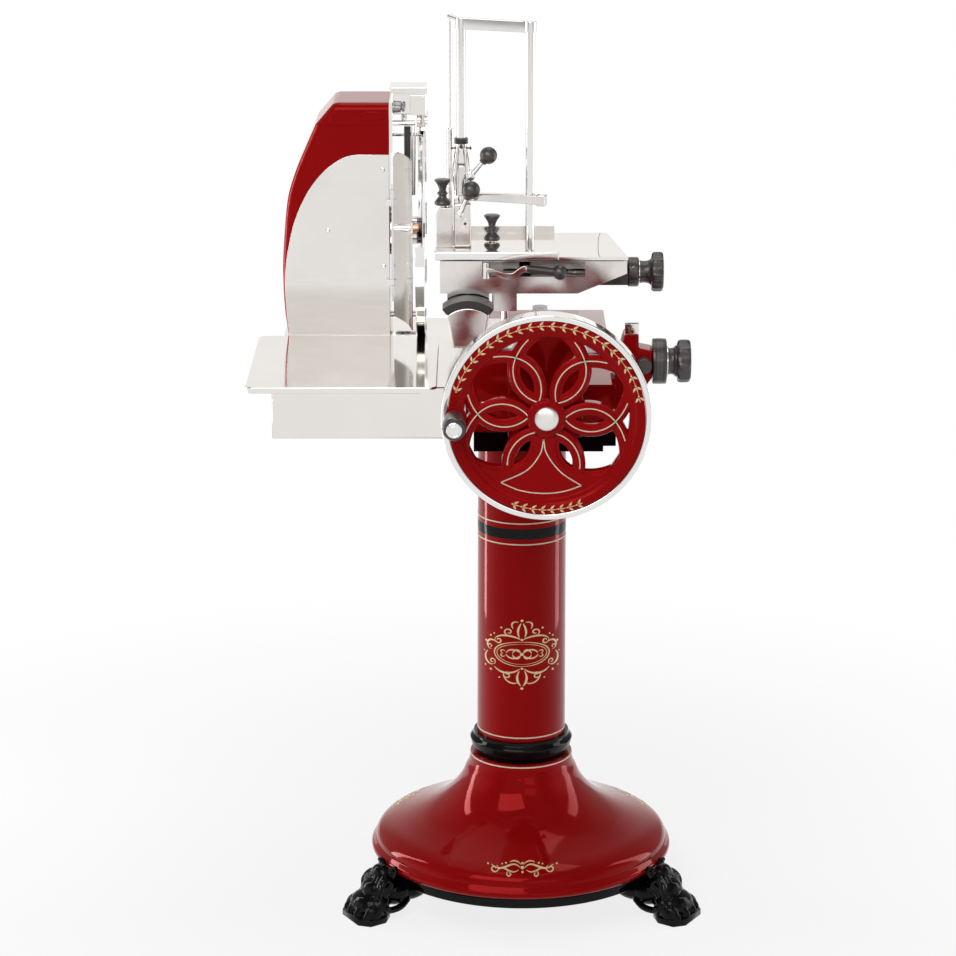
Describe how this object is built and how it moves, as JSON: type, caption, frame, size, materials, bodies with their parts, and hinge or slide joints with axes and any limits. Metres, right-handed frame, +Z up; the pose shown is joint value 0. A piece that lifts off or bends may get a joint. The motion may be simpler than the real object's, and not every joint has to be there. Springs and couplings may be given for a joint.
{
  "type": "hand crank meat slicer",
  "caption": "Flywheel meat slicer on a round pedestal with paw feet: turning the wheel spins the upright blade and moves the carriage and meat table past it, and slices fall on a side tray.",
  "frame": {"origin": "on the floor, under the centre of the whole machine's bounding box", "axes": "+Z up; -Y is the operator's side, with the flywheel; +X is the operator's right, with the feed screw's knob; -X is the side of the blade and the tray"},
  "size_m": [0.8314, 0.9941, 1.618],
  "materials": {
    "red_enamel": "deep red gloss enamel",
    "black_enamel": "black gloss enamel",
    "bright_chrome": "polished chrome",
    "stainless": "brushed stainless steel",
    "cast_aluminium": "polished cast aluminium",
    "bakelite": "dark grey brown, half gloss",
    "gear_steel": "machined steel, lightly oiled"
  },
  "bodies": {
    "machine": {"paw_foot_left": "black_enamel", "paw_foot_right": "black_enamel", "paw_foot_rear": "black_enamel", "base_skirt": "black_enamel", "pedestal_bell": "red_enamel", "column_foot_ring": "black_enamel", "pedestal_column": "red_enamel", "machine_foot_frame": "black_enamel", "base_housing": "red_enamel", "shaft_pillar": "red_enamel", "side_box": "stainless", "drive_cover": "red_enamel", "drive_cover_lid": "red_enamel", "slice_wall": "stainless", "blade_bearing_arm": "cast_aluminium", "blade_guard": "bright_chrome", "drive_chain": "gear_steel", "rail_left": "bright_chrome", "rail_right": "bright_chrome", "front_rail_support": "cast_aluminium", "rail_slide_pad": "black_enamel", "rear_rail_support": "cast_aluminium", "deflector_hinge_pin": "bright_chrome", "sharpener_bracket": "bright_chrome", "thickness_bracket": "red_enamel", "thickness_tab": "stainless", "thickness_stop": "bakelite"},
    "flywheel": {"flywheel": "red_enamel", "flywheel_tyre": "bright_chrome", "flywheel_hub_cap": "bright_chrome", "flywheel_shaft": "gear_steel", "handle_spindle": "bright_chrome"},
    "grip": {"crank_grip": "bakelite"},
    "lay_shaft": {"lay_shaft": "gear_steel"},
    "cross_shaft": {"cross_shaft": "gear_steel"},
    "blade": {"blade": "bright_chrome", "blade_shaft": "gear_steel"},
    "crank": {"drive_crank": "gear_steel"},
    "rod": {"connecting_rod": "gear_steel"},
    "carriage": {"carriage": "cast_aluminium"},
    "feed_knob": {"feed_screw_knob": "bakelite"},
    "release_lever": {"release_lever": "bakelite"},
    "table": {"meat_table": "stainless", "table_front_lip": "bright_chrome", "clamp_post_left": "stainless", "clamp_post_right": "stainless", "clamp_crossbar": "bright_chrome", "guide_tube": "stainless", "clamp_post_block": "cast_aluminium"},
    "block_knob": {"block_knob": "bakelite"},
    "table_knob": {"table_knob": "bakelite"},
    "clamp": {"press_clamp": "cast_aluminium"},
    "clamp_lever": {"clamp_lever": "bakelite"},
    "block_lever": {"block_lever": "bakelite"},
    "tray": {"slice_tray": "stainless"},
    "deflector": {"slice_deflector": "stainless"},
    "deflector_knob": {"deflector_knob": "bright_chrome"},
    "sharpener": {"sharpener_head": "bright_chrome"},
    "sharpener_knob": {"sharpener_knob": "bright_chrome"},
    "thickness_knob": {"thickness_knob": "bakelite"}
  },
  "joints": [
    {"name": "flywheel_turn", "type": "hinge", "parent": "machine", "child": "flywheel", "pos_m": [0.1135, -0.0715, 0.9895], "axis": [0, 1, 0], "continuous": true},
    {"name": "grip_turn", "type": "hinge", "parent": "flywheel", "child": "grip", "pos_m": [-0.0435, -0.4205, 0.9895], "axis": [0, 1, 0], "continuous": true},
    {"name": "lay_turn", "type": "hinge", "parent": "machine", "child": "lay_shaft", "pos_m": [0.1135, 0.3135, 0.93], "axis": [0, 1, 0], "continuous": true},
    {"name": "cross_turn", "type": "hinge", "parent": "machine", "child": "cross_shaft", "pos_m": [0.0767, 0.3135, 0.9303], "axis": [1, 0, 0], "continuous": true},
    {"name": "blade_turn", "type": "hinge", "parent": "machine", "child": "blade", "pos_m": [-0.1068, 0.2785, 1.178], "axis": [1, 0, 0], "continuous": true},
    {"name": "crank_turn", "type": "hinge", "parent": "machine", "child": "crank", "pos_m": [0.1135, 0.2285, 1.0325], "axis": [0, 0, 1], "continuous": true},
    {"name": "rod_turn", "type": "hinge", "parent": "crank", "child": "rod", "pos_m": [0.1135, 0.0985, 1.0565], "axis": [0, 0, 1], "continuous": true},
    {"name": "carriage_slide", "type": "slide", "parent": "machine", "child": "carriage", "axis": [0, 1, 0], "range_m": [0, 0.26]},
    {"name": "feed_turn", "type": "hinge", "parent": "carriage", "child": "feed_knob", "pos_m": [0.2662, -0.0215, 1.1615], "axis": [1, 0, 0], "range_deg": [-3600, 720]},
    {"name": "table_slide", "type": "slide", "parent": "carriage", "child": "table", "axis": [-1, 0, 0], "range_m": [-0.06, 0.012]},
    {"name": "release_turn", "type": "hinge", "parent": "carriage", "child": "release_lever", "pos_m": [0.0112, -0.1244, 1.2007], "axis": [0, 0, -1], "range_deg": [0, 40]},
    {"name": "block_knob_turn", "type": "hinge", "parent": "table", "child": "block_knob", "pos_m": [-0.0668, -0.0215, 1.2813], "axis": [0, 0, 1], "range_deg": [0, 1080]},
    {"name": "table_knob_turn", "type": "hinge", "parent": "table", "child": "table_knob", "pos_m": [0.022, 0.016, 1.2093], "axis": [0, 0, 1], "range_deg": [0, 1080]},
    {"name": "clamp_slide", "type": "slide", "parent": "table", "child": "clamp", "axis": [0, 0, 1], "range_m": [-0.01, 0.13]},
    {"name": "clamp_lever_turn", "type": "hinge", "parent": "clamp", "child": "clamp_lever", "pos_m": [-0.0168, -0.0315, 1.337], "axis": [0, 1, 0], "range_deg": [0, 45]},
    {"name": "block_lever_turn", "type": "hinge", "parent": "table", "child": "block_lever", "pos_m": [-0.0363, -0.0445, 1.27], "axis": [0, 1, 0], "range_deg": [0, 60]},
    {"name": "tray_slide", "type": "slide", "parent": "machine", "child": "tray", "axis": [-1, 0, 0], "range_m": [0, 0.1]},
    {"name": "deflector_turn", "type": "hinge", "parent": "machine", "child": "deflector", "pos_m": [-0.1618, 0.2145, 1.0275], "axis": [0, 0, -1], "range_deg": [0, 60]},
    {"name": "deflector_knob_turn", "type": "hinge", "parent": "deflector", "child": "deflector_knob", "pos_m": [-0.1574, 0.0785, 1.2224], "axis": [1, 0, 0], "range_deg": [0, 1080]},
    {"name": "sharpener_slide", "type": "slide", "parent": "machine", "child": "sharpener", "axis": [0, 0, -1], "range_m": [0, 0.018]},
    {"name": "sharpener_knob_turn", "type": "hinge", "parent": "machine", "child": "sharpener_knob", "pos_m": [-0.1688, 0.226, 1.4195], "axis": [1, 0, 0], "range_deg": [0, 1080]},
    {"name": "thickness_turn", "type": "hinge", "parent": "machine", "child": "thickness_knob", "pos_m": [0.3047, -0.1715, 1.032], "axis": [1, 0, 0], "range_deg": [0, 300]}
  ],
  "couplings": [
    {"joint": "lay_turn", "follows": "flywheel_turn", "ratio": -1.4},
    {"joint": "cross_turn", "follows": "flywheel_turn", "ratio": 2.1},
    {"joint": "blade_turn", "follows": "flywheel_turn", "ratio": 3.9375},
    {"joint": "crank_turn", "follows": "flywheel_turn", "ratio": 0.5},
    {"joint": "rod_turn", "follows": "flywheel_turn", "ratio": -0.5},
    {"joint": "feed_turn", "follows": "table_slide", "rad_per_m": 1047.2}
  ]
}
